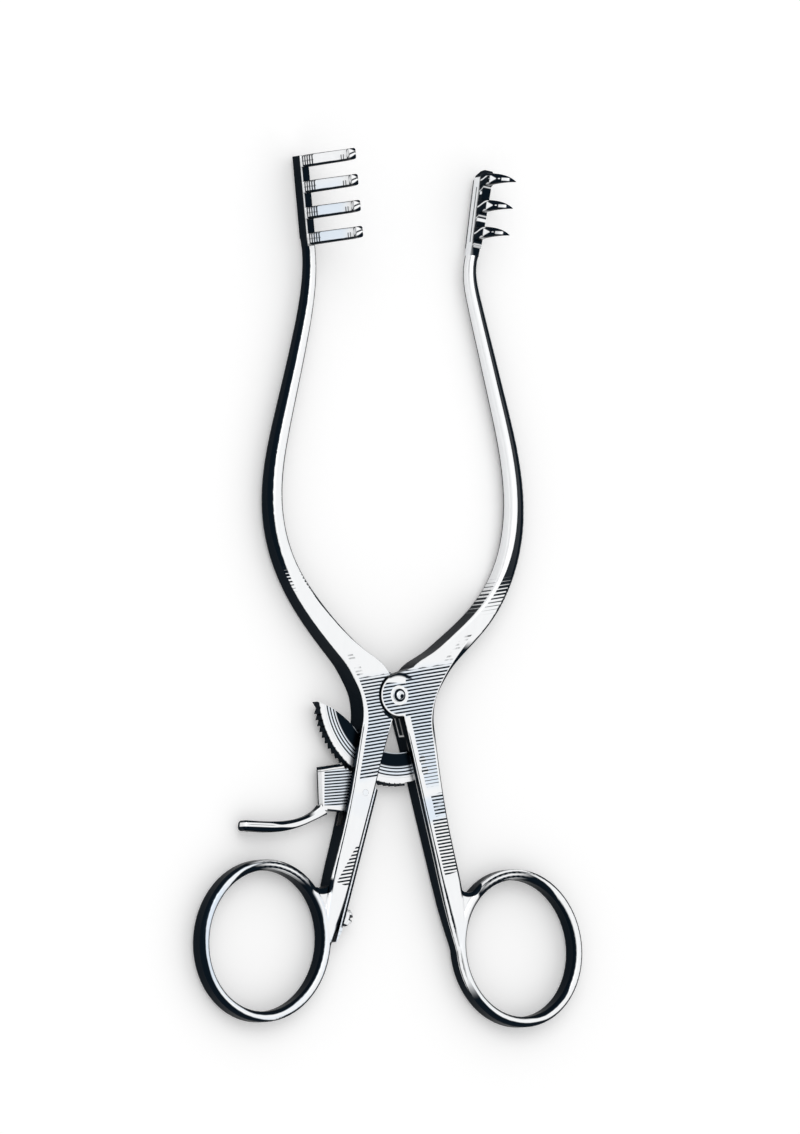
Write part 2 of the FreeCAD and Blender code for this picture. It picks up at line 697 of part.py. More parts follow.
def right_rake():
    """Rail with three sharp claws on a rising web, which arch down and hook outwards."""
    first = SHOULDER_LENGTH + 1.55 + CLAW_WIDTH / 2
    spots = [first + CLAW_PITCH * k for k in range(CLAW_COUNT)]
    low, length = MID - SHANK_TIP_THICK / 2, spots[-1] + CLAW_WIDTH / 2 + 0.65
    top, reach, droop = CLAW_HEIGHT, CLAW_REACH, CLAW_DROOP
    side_view = [
        (SHOULDER_LENGTH, low),
        (length - RIGHT_RAIL_ROUND, low),
        (length - 0.45 * RIGHT_RAIL_ROUND, low + 0.2 * RIGHT_RAIL_RISE),
        (length - 0.08 * RIGHT_RAIL_ROUND, low + 0.62 * RIGHT_RAIL_RISE),
        (length, low + RIGHT_RAIL_RISE),
        (spots[-1], WEB_HIGH_Z + 1.6),
        (spots[-1] - CLAW_WIDTH / 2, WEB_HIGH_Z),
        (SHOULDER_LENGTH, WEB_LOW_Z),
    ]
    stations = (
        (0.0, -0.3, WEB_LOW_Z - 1, 0, 1.56, 1.5),
        (0.02, 0.1, 0.58 * top, 4, 1.52, 0.92),
        (0.2 * reach, 0.1, 0.76 * top, 24, 1.3, 0.74),
        (0.5 * reach, 0.0, 0.91 * top, 46, 1.0, 0.5),
        (reach, -droop, top, 66, 0.14, 0.06),
    )
    hooks = []
    for spot in spots:
        claw = hook(stations, CLAW_WIDTH)
        claw.translate(Vector(0, spot, 0))
        hooks.append(claw)
    return place_rake(rail(side_view).fuse(hooks + [shoulder()]).removeSplitter(), 1)


def right_arm():
    body = arm(1).cut(bar_seat())
    for spot in bar_rivet_spots().values():
        body = body.cut(disc(spot, BAR_RIVET_RADIUS + SEATED_FIT, -1, HINGE_THICK + 1))
    return body


def left_arm():
    body = arm(-1).cut(handle_slot())
    body = body.cut(countersink())
    body = body.cut(disc(lever_pin_spot(), LEVER_PIN_RADIUS + SEATED_FIT, -1, HINGE_THICK + 1))
    return body.cut(screw_hole())


def main():
    nodes = {
        "left_arm": left_arm(),
        "right_arm": right_arm(),
        "left_rake": left_rake(),
        "right_rake": right_rake(),
        "pivot_rivet": pivot_rivet(),
        "ratchet_bar": ratchet_bar(),
        "release_lever": release_lever(),
        "lever_pin": flush_pin(lever_pin_spot(), LEVER_PIN_S, LEVER_PIN_RADIUS),
        "leaf_spring": leaf_spring(),
        "spring_screw": spring_screw(),
    }
    for name, spot in bar_rivet_spots().items():
        nodes[name] = flush_pin(spot, spot.dot(DOWN), BAR_RIVET_RADIUS)
    os.makedirs("parts", exist_ok=True)
    for name, shape in nodes.items():
        state = "valid" if shape.isValid() else "NOT VALID"
        print(name, len(shape.Solids), "solid", state, round(shape.Volume, 1))
        shape.exportStep("parts/" + name + ".step")


main()
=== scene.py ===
import math

import bmesh
import bpy
from bpy.props import FloatProperty, FloatVectorProperty, PointerProperty
from mathutils import Matrix, Vector

bl_info = {
    "name": "Self retaining retractor",
    "version": (1, 0, 0),
    "blender": (4, 5, 0),
    "location": "View3D > Sidebar > Retractor",
    "description": "Steel finishes and a studio for a self retaining retractor",
    "category": "Object",
}

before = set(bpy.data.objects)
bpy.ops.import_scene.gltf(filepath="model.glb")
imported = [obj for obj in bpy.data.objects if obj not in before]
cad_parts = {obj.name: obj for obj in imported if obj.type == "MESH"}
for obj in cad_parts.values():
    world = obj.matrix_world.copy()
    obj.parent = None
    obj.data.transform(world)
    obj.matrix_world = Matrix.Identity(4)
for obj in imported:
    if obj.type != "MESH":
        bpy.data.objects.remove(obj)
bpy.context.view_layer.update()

# Places on the part, in millimetres. s runs down a handle from the hinge, o outwards from it.
# In tables with the keys 1 and -1, 1 is the right side and -1 the left.
MM = 1000.0
HANDLE_LEAN = math.radians(15.5)
HANDLE_SIN, HANDLE_COS = math.sin(HANDLE_LEAN), math.cos(HANDLE_LEAN)
RAKE_LEAN = {1: math.radians(7.6), -1: math.radians(6.4)}
RAKE_START = {1: (16.8, 83.2), -1: (18.8, 83.2)}
PRONG_PITCH = 4.84
PRONG_MIDDLE = 1.25
CLAW_PITCH = 5.1
CLAW_MIDDLE = 4.2
# o and s of a ring's middle, then the width and height of its opening
RINGS = {1: (13.92, 52.0, 23.3, 25.8), -1: (14.37, 52.2, 23.9, 26.4)}
RING_WALL = 0.155  # of the opening's half width
CROTCH = (6.15, 37.2)
CROTCH_WIDTH = {1: 2.85, -1: 3.25}
SHANK_FADE = {1: (14, 25), -1: (17, 24)}  # y where the handle's shading turns into the shank's
HINGE_GRIND_END = {1: -18.0, -1: -14.5}
LEAF_PLACE = (-0.68, 18.0)  # o of its middle line, at this s
LEAF_SLOPE = 0.008
SCREW_SEAT = (-11.53, -41.22)
BLOCK_TOP = (-9.6, -12.8)
BLOCK_SLOPE = 0.161
BLOCK_LEFT = -15.9
BAR_HEIGHT = -25.3
BAR_BEND_START = -27.0
RIVET_HEAD_BASE = 5.0
TOOTH_ROOT_RADIUS = 16.3
BOW_RADIUS = 13.1

# Grinding, in millimetres; a slope is the rise along x. Grinding and turned lines are real relief,
# painted dark as hatched shade
FRONT_SLOPE = 0.178
BLOCK_SLANT = 0.1
SHADE_PITCH = 0.66
PRONG_GRIND = 0.78
TURNED_PITCH = 0.62
RIVET_TURNED = 0.3

# Share of the painted sky reflection on the handle, on the ring's left part and on the ridge
ARM_BLUE = {1: (0.9, 0.15, 0.0), -1: (0.27, 0.95, 0.5)}

# Studio, in metres
FLOOR_DROP = 0.00005
KEY_SPOT = Vector((-0.5, 0.55, 1.1))
KEY_AIM = Vector((0, 0.02, 0))
KEY_SIZE = 0.9
CAMERA_BACK = Vector((-0.51140, -0.07129, 0.85638))
CAMERA_UPWARDS = Vector((-0.04139, 0.99744, 0.05831))
CAMERA_AIM = Vector((0, 0.02, 0.0025))
CAMERA_SHIFT = (0.00131, 0.00409)
CAMERA_DISTANCE = 2.5
VIEW_HEIGHT = 0.21157
SENSOR_HEIGHT = 36.0


class SteelSettings(bpy.types.PropertyGroup):
    bright: FloatVectorProperty(
        name="Bright steel", description="Colour of the polished fronts",
        subtype="COLOR", size=3, min=0, max=1, default=(0.93, 0.94, 0.95))
    # Colour of the painted sky reflection, a pale blue laid in patches on the steel
    sky_reflection: FloatVectorProperty(
        name="Cool steel", description="Colour of the patches that mirror a cooler sky",
        subtype="COLOR", size=3, min=0, max=1, default=(0.74, 0.82, 0.91))
    # Colour of the painted shade, standing for shade and the reflection of a dark room on sides,
    # edges, recesses and grinding lines
    shade_colour: FloatVectorProperty(
        name="Deep steel", description="Colour of the sides and grooves that mirror a dark room",
        subtype="COLOR", size=3, min=0, max=1, default=(0.004, 0.008, 0.013))
    roughness: FloatProperty(
        name="Roughness", description="Roughness of the satin polish",
        subtype="FACTOR", min=0, max=1, default=0.27)
    grind_pitch: FloatProperty(
        name="Grinding pitch", description="Distance between two grinding lines, in millimetres",
        min=0.1, max=3, default=0.645)


class StageSettings(bpy.types.PropertyGroup):
    floor_size: FloatProperty(
        name="Floor size", description="Width of the floor", subtype="DISTANCE", unit="LENGTH",
        min=0.5, default=8.0)
    floor_colour: FloatVectorProperty(
        name="Floor colour", description="Colour of the pale floor",
        subtype="COLOR", size=3, min=0, max=1, default=(0.97, 0.97, 0.97))
    glow: FloatProperty(
        name="Paper glow", description="Added where the floor is seen, which brings it to white",
        min=0, max=0.5, default=0.12)
    sky: FloatProperty(
        name="Soft light", description="Strength of the even light from all round",
        min=0, max=2, default=0.82)
    lamp: FloatProperty(
        name="Key light", description="Power of the wide lamp above",
        subtype="POWER", unit="POWER", min=0, default=2.6)


class Value:
    """A socket that takes part in Python expressions."""

    def __init__(self, shader, socket):
        self.shader, self.socket = shader, socket

    def __add__(self, other):
        return self.shader.math("ADD", self, other)

    def __radd__(self, other):
        return self.shader.math("ADD", other, self)

    def __sub__(self, other):
        return self.shader.math("SUBTRACT", self, other)

    def __rsub__(self, other):
        return self.shader.math("SUBTRACT", other, self)

    def __mul__(self, other):
        return self.shader.math("MULTIPLY", self, other)

    def __rmul__(self, other):
        return self.shader.math("MULTIPLY", other, self)

    def __truediv__(self, other):
        return self.shader.math("DIVIDE", self, other)

    def __rtruediv__(self, other):
        return self.shader.math("DIVIDE", other, self)

    def __neg__(self):
        return self.shader.math("MULTIPLY", self, -1)

    def over(self, low, high):
        """0 below low, 1 above high, smooth between."""
        node = self.shader.node(
            "ShaderNodeMapRange", {"interpolation_type": "SMOOTHSTEP", "clamp": True},
            {"Value": self, "From Min": low, "From Max": high})
        return Value(self.shader, node.outputs["Result"])

    def under(self, low, high):
        """1 below low, 0 above high."""
        return 1 - self.over(low, high)

    def within(self, low, high, soft):
        """1 between low and high, with soft edges."""
        return self.over(low - soft, low + soft) * self.under(high - soft, high + soft)

    def stripes(self, pitch, share, soft=0.1):
        """1 on the given share of every pitch."""
        phase = self.shader.math("PINGPONG", self, pitch / 2) * (2 / pitch)
        return phase.under(share - soft, share + soft)

    def size(self):
        return self.shader.math("ABSOLUTE", self)


class Shader:
    """A node material, with the object's coordinates in millimetres and its normal at hand."""

    def __init__(self, name):
        self.steel = bpy.context.scene.retractor_steel
        self.material = bpy.data.materials.new(name)
        self.material.use_nodes = True
        self.tree = self.material.node_tree
        self.surface = self.tree.nodes["Principled BSDF"]
        place = self.node("ShaderNodeTexCoord")
        self.object_point = place.outputs["Object"]
        point = self.node("ShaderNodeSeparateXYZ", {}, {"Vector": self.object_point})
        self.x, self.y, self.z = (Value(self, point.outputs[axis]) * MM for axis in "XYZ")
        normal = self.node("ShaderNodeSeparateXYZ", {}, {"Vector": place.outputs["Normal"]})
        self.nx, self.ny, self.nz = (Value(self, normal.outputs[axis]) for axis in "XYZ")

    def node(self, kind, settings=None, sockets=None):
        """Any node: its type, its settings, then the values or links of its sockets."""
        node = self.tree.nodes.new(kind)
        for key, value in (settings or {}).items():
            setattr(node, key, value)
        for key, value in (sockets or {}).items():
            if isinstance(value, Value):
                value = value.socket
            if isinstance(value, bpy.types.NodeSocket):
                self.tree.links.new(value, node.inputs[key])
            else:
                node.inputs[key].default_value = value
        return node

    def math(self, operation, *values):
        node = self.node("ShaderNodeMath", {"operation": operation}, dict(enumerate(values)))
        return Value(self, node.outputs[0])

    def most(self, first, *others):
        for other in others:
            first = self.math("MAXIMUM", first, other)
        return first

    def length(self, a, b):
        return self.math("SQRT", a * a + b * b)

    def noise(self, scale, detail=2.0, stretch=(1, 1, 1)):
        """Noise from 0 to 1; scale counts its blobs along a metre."""
        mapping = self.node(
            "ShaderNodeMapping", {}, {"Vector": self.object_point, "Scale": stretch})
        node = self.node(
            "ShaderNodeTexNoise", {},
            {"Vector": mapping.outputs[0], "Scale": scale, "Detail": detail, "Roughness": 0.55})
        return Value(self, node.outputs["Fac"])

    def mix(self, factor, first, second):
        """Colour first where factor is 0, second where it is 1."""
        node = self.node(
            "ShaderNodeMix", {"data_type": "RGBA"},
            {0: factor, 6: self.colour(first), 7: self.colour(second)})
        return node.outputs[2]

    def colour(self, value):
        return value if isinstance(value, bpy.types.NodeSocket) else (*value, 1)

    def ground(self, slope, wobble=0.12, share=0.5, finer=1.0):
        """Grinding lines across the part, which rise along x by slope; they are painted dark as
        hatched shade.
        """
        run = self.y - slope * self.x + wobble * self.noise(260)
        return run.stripes(finer * self.steel.grind_pitch, share, 0.16)

    def broken(self, mask, scale=420, keep=0.42):
        """A mask whose edges are ragged, as hand grinding leaves them; it bounds zones of lines
        painted dark as hatched shade.
        """
        return (mask + 0.55 * (self.noise(scale, 3) - 0.5)).over(keep, keep + 0.16)

    def finish(self, dark, lines, sky_reflection):
        """Steel whose colour, polish and relief follow the three masks: the first is painted
        shade, the second grinding lines painted dark as hatched shade, the third a painted sky
        reflection.
        """
        steel = self.steel
        grain = self.noise(900, 3, (1, 0.25, 1))
        wear_and_sky_patches = self.noise(70, 2)
        bright = self.mix(grain, steel.bright, [0.94 * c for c in steel.bright])
        # Painted sky reflection in noisy patches, then grinding lines and painted shade in the
        # shade colour; the same patches also roughen the polish
        colour = self.mix(sky_reflection * wear_and_sky_patches.over(0.2, 0.5), bright, steel.sky_reflection)
        colour = self.mix(lines, colour, steel.shade_colour)
        colour = self.mix(dark, colour, steel.shade_colour)
        rough = steel.roughness + 0.12 * (grain - 0.5) + 0.1 * wear_and_sky_patches + 0.12 * lines
        height = 0.12 * grain - 0.6 * lines
        bump = self.node(
            "ShaderNodeBump", {}, {"Strength": 0.35, "Distance": 0.00008, "Height": height})
        self.surface.inputs["Metallic"].default_value = 1.0
        self.surface.inputs["Specular Tint"].default_value = (0.6, 0.6, 0.6, 1)
        self.tree.links.new(colour, self.surface.inputs["Base Color"])
        self.tree.links.new(rough.socket, self.surface.inputs["Roughness"])
        self.tree.links.new(bump.outputs[0], self.surface.inputs["Normal"])
        return self.material


def dress(name, material):
    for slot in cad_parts[name].material_slots:
        slot.material = material


class ArmShader(Shader):
    """A shader with the places of one arm; wide and out count outwards on either side.

    s and o follow the handle, margin runs in from its outer edge, hub out from the hinge's
    axis, and run across the grinding lines.
    """

    def __init__(self, side):
        super().__init__("right_arm_steel" if side > 0 else "left_arm_steel")
        self.side = side
        self.wide = side * self.x
        self.out = side * self.nx
        self.s = HANDLE_SIN * self.wide - HANDLE_COS * self.y
        self.o = HANDLE_COS * self.wide + HANDLE_SIN * self.y
        flare = self.most(0, 1 - self.s / 8)
        self.margin = 6.7 - 0.1 * self.s + 3.3 * flare * flare - self.o
        self.hub = self.length(self.wide, self.y)
        self.run = self.y - FRONT_SLOPE * self.x
        # front, flank and ridge pick faces by their normal: the flank and the ridge take painted
        # shade, the left ridge also a painted sky reflection
        self.front = self.nz.over(0.9, 0.98)
        self.flank = self.nz.under(0.25, 0.45)
        self.ridge = self.nz.within(0.84, 0.98, 0.02) * self.s.over(-2, 2)
        self.right_edge = self.nx.over(0.08, 0.2)

    def on_shank(self):
        """1 on the shank and 0 on the handle, with a hatched change between the shank's and the
        handle's painted shade.
        """
        fade = self.y.over(*SHANK_FADE[self.side])
        hatch = self.run.stripes(SHADE_PITCH, 1.25 * fade - 0.12, 0.1)
        return self.most(fade.over(0.93, 0.98), hatch)

    def shank_dark(self):
        """Painted shade on the outer side and the underside of a shank, with a painted highlight
        along the right one and a painted dark line along the left one's inner edge.
        """
        if self.side > 0:
            highlight = self.out.within(0.62, 0.8, 0.05)
            outer_side = self.out.over(-0.16, 0.02) * (1 - 0.9 * highlight)
            return self.most(outer_side, self.nz.under(-0.12, -0.04))
        inner_line = self.right_edge * self.nz.under(0.84, 0.88)
        return self.most(self.out.over(0.3, 0.5), self.nz.under(-0.35, -0.2), inner_line)

    def handle_dark(self):
        """Painted shade on the sides and edges of a handle, with a thin painted highlight line
        down the right one's flank.
        """
        edge_line = self.right_edge * (self.nz - 0.08 * self.s.under(30, 40)).under(0.87, 0.9)
        dark = self.most(self.flank, self.ridge, edge_line)
        if self.side < 0:
            return dark
        outline = self.margin.under(0.44, 0.54) * self.s.under(8, 12) * self.y.under(9, 11)
        flank_line = self.z.within(3.5, 3.66, 0.05) * self.s.over(8, 12) * self.flank
        return self.most(dark, outline) * (1 - 0.8 * flank_line)

    def ring(self):
        """Where the ring is, its painted shade, its part with a painted sky reflection, and the
        reach out from its middle.
        """
        ring_o, ring_s, width, height = RINGS[self.side]
        across, along = (self.o - ring_o) / (width / 2), (self.s - ring_s) / (height / 2)
        reach = self.length(across, along)
        here = reach.under(1.2, 1.26) * self.s.over(38, 40) * self.o.over(0.6, 1.2)
        n_o = HANDLE_COS * self.out + HANDLE_SIN * self.ny
        n_s = HANDLE_SIN * self.out - HANDLE_COS * self.ny
        radial = (across * n_o + along * n_s) / reach
        walls = self.most(
            radial.under(-0.62, -0.3), radial.over(0.9, 0.97), self.nz.under(-0.3, -0.1))
        line = self.right_edge * self.nz.under(0.9, 0.94) * radial.over(0, 0.1)
        inner_leg = (-across).over(0.3, 0.6) * (ring_s + 7 - self.s).over(0, 5)
        bands, blue = self.ring_front(across, along, reach, inner_leg)
        return here, self.most(walls, bands, line), blue, reach

    def ring_front(self, across, along, reach, inner_leg):
        """Painted shade bands along the inner and the outer edge of a ring's front, standing for
        its rounding, and its part with a painted sky reflection.
        """
        rising, right = -along / reach, self.side * across / reach
        wall = (reach - 1) / RING_WALL + 0.14 * (self.noise(330) - 0.5)
        low_right = (-rising).over(0.4, 0.9) * right.over(-0.5, 0.2)
        inner = 0.1 + 0.52 * rising.over(0.3, 0.95) + 0.25 * low_right
        low_left = (-0.8 * rising - 0.6 * right).over(0.3, 0.95)
        high_left = (0.7 * rising - 0.7 * right).over(0.5, 1)
        outer = 0.12 + 0.3 * low_left + 0.14 * high_left
        bands = (wall - inner).under(-0.05, 0.05)
        rim = (wall + outer).over(0.95, 1.05) * (1 - inner_leg)
        blue = right.under(-0.3, 0.2) * rising.within(-0.8, 0.5, 0.15)
        return self.most(bands, rim), blue

    def with_crotch(self, dark, reach):
        """Adds the painted shade in the corner where the ring leaves the handle, and keeps the
        ring's fillet bright as a painted highlight.
        """
        corner = self.length(self.o - CROTCH[0], self.s - CROTCH[1])
        width = CROTCH_WIDTH[self.side]
        crotch = corner.under(width, width + 0.15)
        crotch = crotch * self.s.over(36.6, 37.4) * self.o.over(3.75, 3.9)
        fillet = self.o.within(2.6, 7.4, 0.3) * self.s.within(39.5, 47, 0.5)
        fillet = fillet * reach.over(1.03, 1.07) * self.nz.over(0.02, 0.15)
        return self.most(dark * (1 - fillet), crotch)

    def hinge(self):
        """Zone of the grinding lines at the hinge, painted dark as hatched shade, and the painted
        shade along the edge of the front lug and above it.
        """
        hub, wide, y, front = self.hub, self.wide, self.y, self.front
        zone = self.run.within(HINGE_GRIND_END[self.side], 4.4, 1.2) * hub.over(3.9, 4.2)
        if self.side < 0:
            zone = zone * self.o.over(0.25, 0.45) * self.margin.over(0.95, 1.2)
            above = hub.under(4.35, 4.5) * front * y.under(3.0, 4.2)
            below = hub.under(4.7, 4.85) * front * y.under(-3.2, -2.8)
            return zone, self.most(above, below)
        zone = zone * self.o.over(1.1, 1.5) * self.margin.over(0.62, 0.76)
        lug_left = hub.over(1.75, 1.95) * hub.under(3.5, 3.65)
        lug_left = lug_left * wide.under(1.2, 1.6) * y.under(2.1, 2.5)
        lug_right = hub.within(2.0, 4.4, 0.2) * wide.over(1.2, 1.6)
        edge = hub.within(3.85, 4.1, 0.08) * wide.under(0.6, 1.2) * front
        lug_corner_shade = hub.within(3.6, 4.3, 0.2) * y.over(2.9, 3.3)
        lug_corner_shade = lug_corner_shade * wide.under(2.6, 3.2) * self.nz.over(0.5, 0.8)
        return self.most(zone, lug_left, lug_right), self.most(edge, lug_corner_shade)

    def flank_tab(self):
        """Painted highlight lines outlining the small tab on the right handle's inner flank,
        lifting its painted shade.
        """
        z, s = self.z, self.s
        outline = self.most(
            z.within(1.3, 1.6, 0.06) * s.within(4.1, 7.8, 0.1),
            z.within(1.3, 3.2, 0.06) * s.within(7.6, 7.9, 0.06),
            0.5 * z.within(2.8, 3.1, 0.1) * s.within(4.4, 7.6, 0.1))
        return outline * self.out.under(-0.5, -0.3) * self.flank

    def handle_grinding(self):
        """Zone of the grinding lines down the handle, painted dark as hatched shade, and the dark
        share of each line.
        """
        s, o = self.s, self.o
        if self.side < 0:
            inner_end = 1.1 + 0.28 * (s - 30)
            zone = s.within(29.5, 37.5, 0.6) * o.over(0.15, 0.3)
            return zone * (o - inner_end).under(-0.15, 0.15), 0.5
        faint = 0.62 * s.within(19.5, 24, 0.6) * o.over(1.6, 2.0)
        zone = self.most(s.within(24.2, 34.8, 0.6) * o.over(0.9, 1.2), faint)
        thinning = 0.5 - 0.028 * self.most(0, -7 - self.run)
        low = s.over(18, 20)
        return zone, thinning * (1 - low) + 0.5 * low


def arm_finish(side):
    """Bright front, painted shade on the sides and edges, grinding lines painted dark as hatched
    shade at the hinge and on the handle, and a painted sky reflection.
    """
    arm = ArmShader(side)
    shank = arm.on_shank()
    dark = shank * arm.shank_dark() + (1 - shank) * arm.handle_dark()
    on_ring, ring_dark, ring_blue, reach = arm.ring()
    dark = arm.with_crotch(on_ring * ring_dark + (1 - on_ring) * dark, reach)
    if side > 0:
        dark = dark * (1 - arm.flank_tab())
    hinge_zone, lug_edge = arm.hinge()
    handle_zone, share = arm.handle_grinding()
    rise_zone = arm.run.within(4.6, 9.5, 0.5) * arm.margin.within(0.8, 3.6, 0.4)
    zones = arm.broken(arm.most(hinge_zone, handle_zone, 0.46 * rise_zone))
    lines = arm.ground(FRONT_SLOPE, share=share) * zones * arm.front
    handle_blue, ring_share, ridge_blue = ARM_BLUE[side]
    sky_reflection = arm.most(
        handle_blue * arm.s.within(20.0, 24.5, 0.8),
        0.9 * hinge_zone,
        on_ring * ring_blue * ring_share,
        ridge_blue * arm.ridge)
    return arm.finish(arm.most(dark, lug_edge), lines, sky_reflection)


def rake_axes(shader, side):
    """Distance along the rail and outwards from it."""
    x, y = side * shader.x - RAKE_START[side][0], shader.y - RAKE_START[side][1]
    lean_sin, lean_cos = math.sin(RAKE_LEAN[side]), math.cos(RAKE_LEAN[side])
    return lean_sin * x + lean_cos * y, lean_cos * x - lean_sin * y


def left_rake_finish():
    """Rail, prong edges and tip outlines painted dark as shade; pale prongs with grinding lines at
    the foot and hatch near the tip, both painted dark as shade; and a painted sky reflection on
    the prongs.
    """
    shader = Shader("left_rake_steel")
    z, nz = shader.z, shader.nz
    along, out = rake_axes(shader, -1)
    facing_out = -shader.nx
    half = PRONG_PITCH / 2
    q = shader.math("WRAP", along - PRONG_MIDDLE, half, -half)
    rough = 0.12 * (shader.noise(700) - 0.5)
    rail = z.under(3.6, 3.95)
    notch_top = nz.over(0.8, 0.95) * z.under(4.2, 4.6) * out.under(0.55, 0.75)
    on_prong = z.over(4.4, 4.8)
    lower_edge = (q + rough).under(-0.74, -0.66) * on_prong
    upper_edge = (q - rough).over(0.98, 1.04) * on_prong
    inner_face = facing_out.under(-0.9, -0.6)
    tip = z.over(18.3, 18.6)
    swell = shader.length(0.72 * (z - 19.75), q - 0.12)
    outline = (swell + rough).over(0.84, 0.92) * tip
    stroke = (q - 0.5 * (z - 20.1)).within(-0.26, 0.02, 0.08) * tip
    dark = shader.most(rail, notch_top, lower_edge, upper_edge, 0.7 * inner_face, outline, stroke)
    foot = shader.broken(z.within(4.3, 8.2, 0.7))
    tip_hatch = shader.broken(z.within(15.8, 17.8, 0.4) * (q + 0.3).under(0.3, 0.6))
    lines = z.stripes(PRONG_GRIND, 0.5, 0.14) * shader.most(foot, 0.8 * tip_hatch)
    fine = q.stripes(0.9, 0.3, 0.1) * foot * 0.5
    sky_reflection = z.within(6, 16, 2) * along.under(8, 14) * 0.9
    return shader.finish(dark, shader.most(lines, fine), sky_reflection)


def right_rake_finish():
    """Bright rail side with hatch lines painted dark; claws painted dark as shade, with painted
    highlights along their ridges and small painted highlights.
    """
    shader = Shader("right_rake_steel")
    z = shader.z
    along, _ = rake_axes(shader, 1)
    half = CLAW_PITCH / 2
    q = shader.math("WRAP", along - CLAW_MIDDLE, half, -half)
    claw = z.over(3.2, 3.9)
    upper_arc = (q + 0.1 - (z - 4.0).over(0, 3.0)).within(-0.13, 0.13, 0.1)
    upper_arc = upper_arc * z.within(3.9, 7.0, 0.2)
    lower_arc = (q + 2.2 - 1.4 * (z - 3.6).over(0, 2.9)).within(-0.12, 0.12, 0.1)
    lower_arc = lower_arc * z.within(3.7, 6.6, 0.2)
    web_stroke = q.size().over(2.2, 2.32) * z.within(4.1, 4.8, 0.15)
    root_light = z.within(6.7, 8.2, 0.12) * (q.size() - 0.45 * (8.4 - z)).under(-0.1, 0.06)
    dot = shader.length(z - 8.85, 2 * q).under(0.16, 0.28)
    tip_light = z.within(9.35, 10.5, 0.1) * (q + 0.1).size().under(0.2, 0.34)
    lights = shader.most(upper_arc, 0.8 * lower_arc, web_stroke, root_light, dot, tip_light)
    far_side = shader.nx.over(0.15, 0.4) * shader.nz.under(0.5, 0.7)
    outline = (z + 0.1 * shader.noise(500)).under(1.4, 1.5) + along.over(14.9, 15.1)
    dark = shader.most(claw * (1 - lights), far_side * claw, outline, shader.ny.over(0.85, 0.97))
    streak = (z + 0.1 * shader.noise(500)).stripes(0.9, 0.35, 0.14) * z.within(2.3, 3.4, 0.2)
    lines = streak * shader.broken(along.within(2.5, 13, 1), 300) * 0.85
    return shader.finish(dark, lines, z * 0 + 0.1)


def ratchet_bar_finish():
    """Bow, sides and teeth painted dark as shade, with a painted highlight along the bow's inner
    edge, and turned rings painted dark as hatched shade over a painted sky reflection; a bright
    rim stays between them.
    """
    shader = Shader("ratchet_bar_steel")
    radius = shader.length(shader.x, shader.y)
    front = shader.nz.over(0.6, 0.9)
    turned = (radius + 0.06 * shader.noise(120)).stripes(TURNED_PITCH, 0.45, 0.14)
    bow = radius.under(BOW_RADIUS, BOW_RADIUS + 0.3)
    lines = turned * radius.within(13.2, 15.3, 0.15)
    rim = radius + 0.2 * (shader.noise(500) - 0.5)
    teeth = rim.over(TOOTH_ROOT_RADIUS, TOOTH_ROOT_RADIUS + 0.2)
    end_edge = 0.6 * (radius - 10.7).under(0.12, 0.2)
    dark = shader.most(1 - front, bow * (1 - end_edge), teeth)
    return shader.finish(dark, lines, radius.under(14.5, 15.5) * 0.8)


def finger_bar_dark(shader):
    """Painted shade bands that leave a bright streak, a painted highlight, along the finger bar,
    with painted dark lines at its end and sides; its lower band comes second.
    """
    x, y, z, nz = shader.x, shader.y, shader.z, shader.nz

    # Height above the bar's middle line, which bends down from the block
    bend = shader.most(0, x - BAR_BEND_START) / 10
    height = y - BAR_HEIGHT - 1.9 * bend * bend - 0.43 * bend * bend * bend
    root = shader.most(0, x + 17.7)
    top_band = (height - 0.62 + 0.36 * x.over(-27, -24)).over(-0.05, 0.05) * x.under(-18.4, -16.8)
    root_line = (height - 0.72 - 0.2 * root).over(0, 0.1) * x.over(-18.4, -16.8)
    low_band = (height + 0.12 + 0.38 * x.over(-25, -21) + 0.07 * root).under(-0.05, 0.05)
    low_band = low_band * x.under(-14.3, -14.0)
    streak = height.within(0.2, 0.32, 0.04) * x.within(-31.5, -26, 0.6)
    end_face = (-shader.nx).over(0.5, 0.7)
    end_line = end_face * z.under(2.0, 2.2)
    sides = nz.under(0.3, 0.5) * (1 - end_face)
    return shader.most(top_band, root_line, low_band, 0.7 * streak, end_line, sides), low_band


def pawl_block_dark(shader, below_top):
    """Dark bands below the serrated top and the sides of the block, painted as shade, and a
    painted dark line above its bright foot.
    """
    x, y, z, nz = shader.x, shader.y, shader.z, shader.nz
    serrated = shader.most(below_top.under(0.5, 0.58), 0.7 * below_top.within(0.78, 0.92, 0.05))
    side_face = shader.nx.under(-0.6, -0.4) * nz.size().under(0.2, 0.4)
    side_line = z.under(1.95, 2.05) * side_face
    other_sides = nz.under(0.4, 0.7) * (1 - side_face)
    foot_line = (y + 0.06 * (x + 15)).under(-21.6, -21.5) * x.over(-14.6, -14.3)
    return shader.most(serrated, side_line, other_sides, foot_line)


